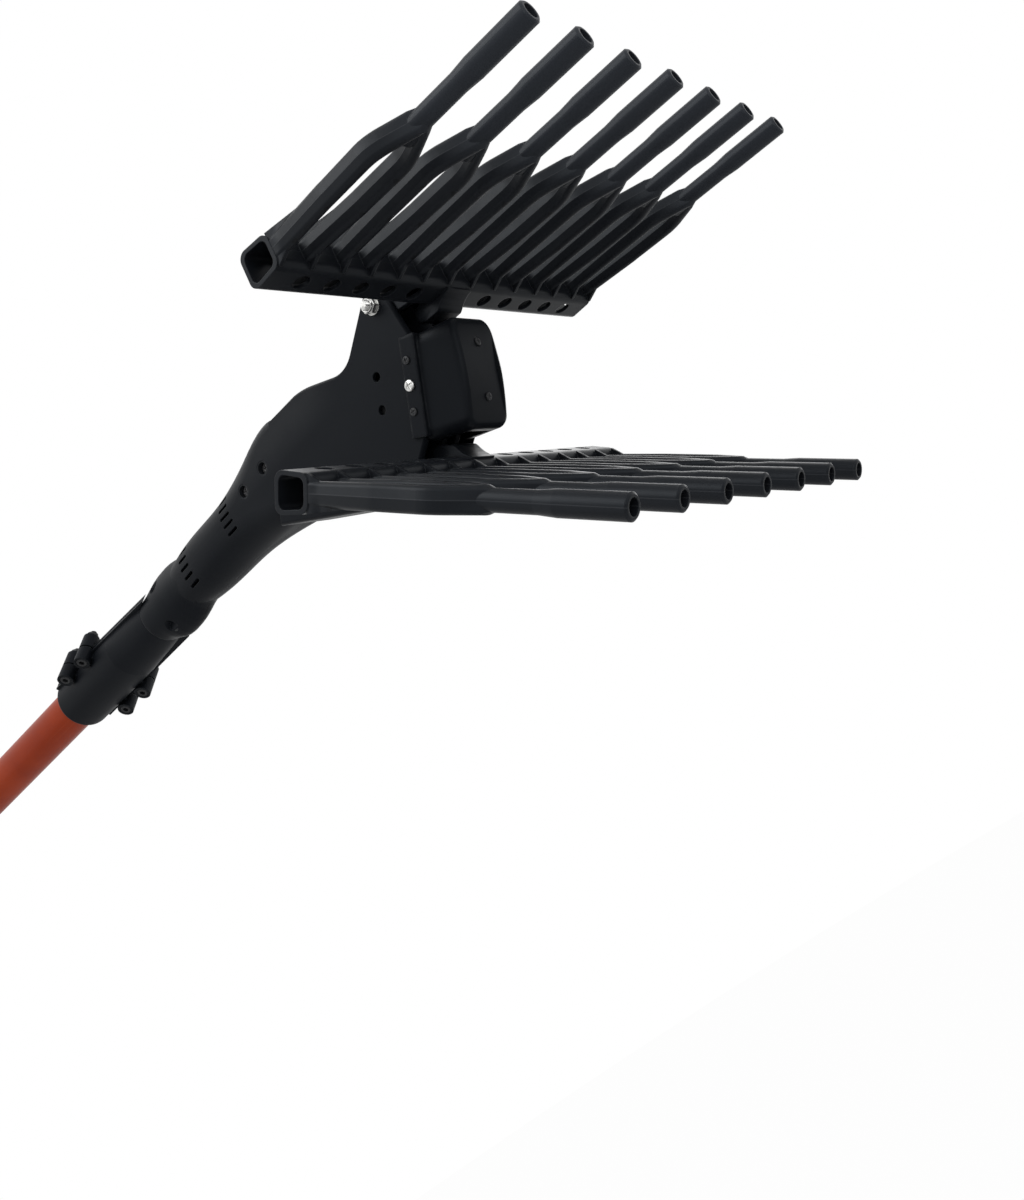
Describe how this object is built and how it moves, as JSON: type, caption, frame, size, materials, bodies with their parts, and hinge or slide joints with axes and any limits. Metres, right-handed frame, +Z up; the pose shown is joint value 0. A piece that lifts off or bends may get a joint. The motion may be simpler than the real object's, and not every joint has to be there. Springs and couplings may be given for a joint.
{
  "type": "electric olive harvester",
  "caption": "Pole-mounted electric olive harvester: two combs of hollow tines on a geared head swing together, driven by a crank, with a telescopic pole and hand grip.",
  "frame": {"origin": "mouth of the power inlet at the butt end, on the pole's axis", "axes": "+X along the pole towards the combs, +Y along the comb bars to the left of a user who faces +X, +Z up"},
  "size_m": [1.6337, 0.313, 0.2571],
  "materials": {
    "black_plastic": "satin moulded",
    "grip_rubber": "matte",
    "red_plastic": "gloss",
    "orange_tube": "satin paint",
    "black_steel": "blackened",
    "zinc_steel": "bright zinc",
    "plain_steel": "ground",
    "cast_aluminium": "cast"
  },
  "bodies": {
    "handle": {"lower_tube": "orange_tube", "butt_cap": "black_plastic", "inlet_gland": "black_plastic", "grip_sleeve": "grip_rubber", "switch_housing_left": "black_plastic", "switch_housing_right": "black_plastic", "switch_screws": "black_steel", "switch_contacts": "black_plastic", "rocker_pin": "plain_steel", "lock_collar": "black_plastic", "lock_pin": "plain_steel"},
    "head": {"slide_bush": "black_plastic", "upper_tube": "orange_tube", "clamp_half_outer": "black_plastic", "clamp_half_inner": "black_plastic", "clamp_bolts": "black_steel", "clamp_nuts": "black_steel", "housing_left": "black_plastic", "housing_right": "black_plastic", "housing_screws": "black_steel", "collar_screws": "black_steel", "motor": "plain_steel", "gearbox": "cast_aluminium", "crank_bearing": "plain_steel", "crank_cover": "black_plastic", "flange_screws": "black_steel", "flange_screws_bright": "zinc_steel", "front_screws": "black_steel", "pivot_bolts": "zinc_steel", "pivot_nuts": "zinc_steel", "pivot_washers": "zinc_steel"},
    "upper_comb": {"upper_comb": "black_plastic", "upper_pivot_bush": "plain_steel", "upper_lever_pin": "plain_steel"},
    "lower_comb": {"lower_comb": "black_plastic", "lower_pivot_bush": "plain_steel", "lower_lever_pin": "plain_steel"},
    "yoke": {"yoke": "cast_aluminium"},
    "crank": {"crankshaft": "plain_steel", "crank_roller": "plain_steel"},
    "fan": {"cooling_fan": "black_plastic", "motor_shaft": "plain_steel"},
    "lock_lever": {"lock_lever": "black_plastic"},
    "rocker": {"rocker": "red_plastic"}
  },
  "joints": [
    {"name": "pole_slide", "type": "slide", "parent": "handle", "child": "head", "axis": [1, 0, 0], "range_m": [0, 0.45]},
    {"name": "upper_comb_swing", "type": "hinge", "parent": "head", "child": "upper_comb", "pos_m": [1.39933, 0, 0.03368], "axis": [0, 1, 0], "range_deg": [0, 11.8]},
    {"name": "lower_comb_swing", "type": "hinge", "parent": "head", "child": "lower_comb", "pos_m": [1.34667, 0, -0.06968], "axis": [0, 1, 0], "range_deg": [0, 11.8]},
    {"name": "yoke_lift", "type": "slide", "parent": "head", "child": "yoke", "axis": [0.454, 0, 0.891], "range_m": [-0.0071, 0]},
    {"name": "crank_spin", "type": "hinge", "parent": "head", "child": "crank", "pos_m": [1.40329, 0, -0.03344], "axis": [0, 1, 0], "range_deg": [0, 180]},
    {"name": "fan_spin", "type": "hinge", "parent": "head", "child": "fan", "pos_m": [1.14, 0, 0.0028], "axis": [1, 0, 0], "range_deg": [0, 1080]},
    {"name": "lock_lever_flip", "type": "hinge", "parent": "handle", "child": "lock_lever", "pos_m": [0.663, 0, 0.0303], "axis": [-1, 0, 0], "range_deg": [0, 110]},
    {"name": "rocker_press", "type": "hinge", "parent": "handle", "child": "rocker", "pos_m": [0.391, 0, 0.038], "axis": [0, 1, 0], "range_deg": [0, 14]}
  ],
  "couplings": [
    {"joint": "lower_comb_swing", "follows": "upper_comb_swing", "ratio": 1},
    {"joint": "yoke_lift", "follows": "upper_comb_swing", "m_per_rad": -0.03394},
    {"joint": "crank_spin", "follows": "upper_comb_swing", "ratio": 15.254},
    {"joint": "fan_spin", "follows": "upper_comb_swing", "ratio": 91.52}
  ]
}
